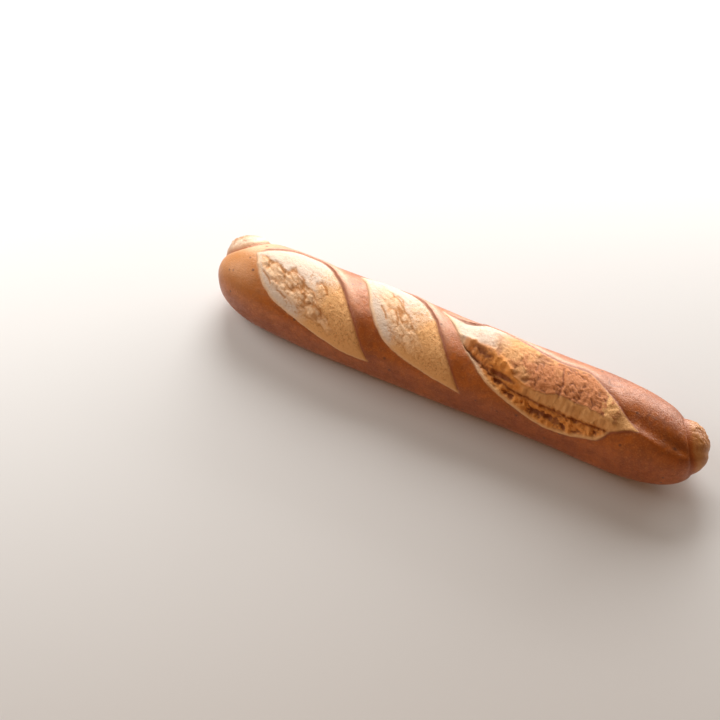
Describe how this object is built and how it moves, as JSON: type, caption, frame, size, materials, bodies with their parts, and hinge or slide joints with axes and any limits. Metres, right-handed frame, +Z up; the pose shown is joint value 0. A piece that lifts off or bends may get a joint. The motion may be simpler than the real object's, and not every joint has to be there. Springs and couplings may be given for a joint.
{
  "type": "baguette",
  "caption": "Long wheat loaf with a browned crust, torn-open slanting scores on top, a pinched dough tail on the shoulder of each end, and a flat base to rest on.",
  "frame": {"origin": "on the flat base, under the middle of the loaf's bounding box", "axes": "+X along the loaf, +Y to its back, +Z up out of the scored top"},
  "size_m": [0.4532, 0.0788, 0.0674],
  "materials": {
    "crust": "satin baked crust, paler and rougher in the scores"
  },
  "bodies": {
    "root": {"baguette": "crust"}
  },
  "joints": []
}
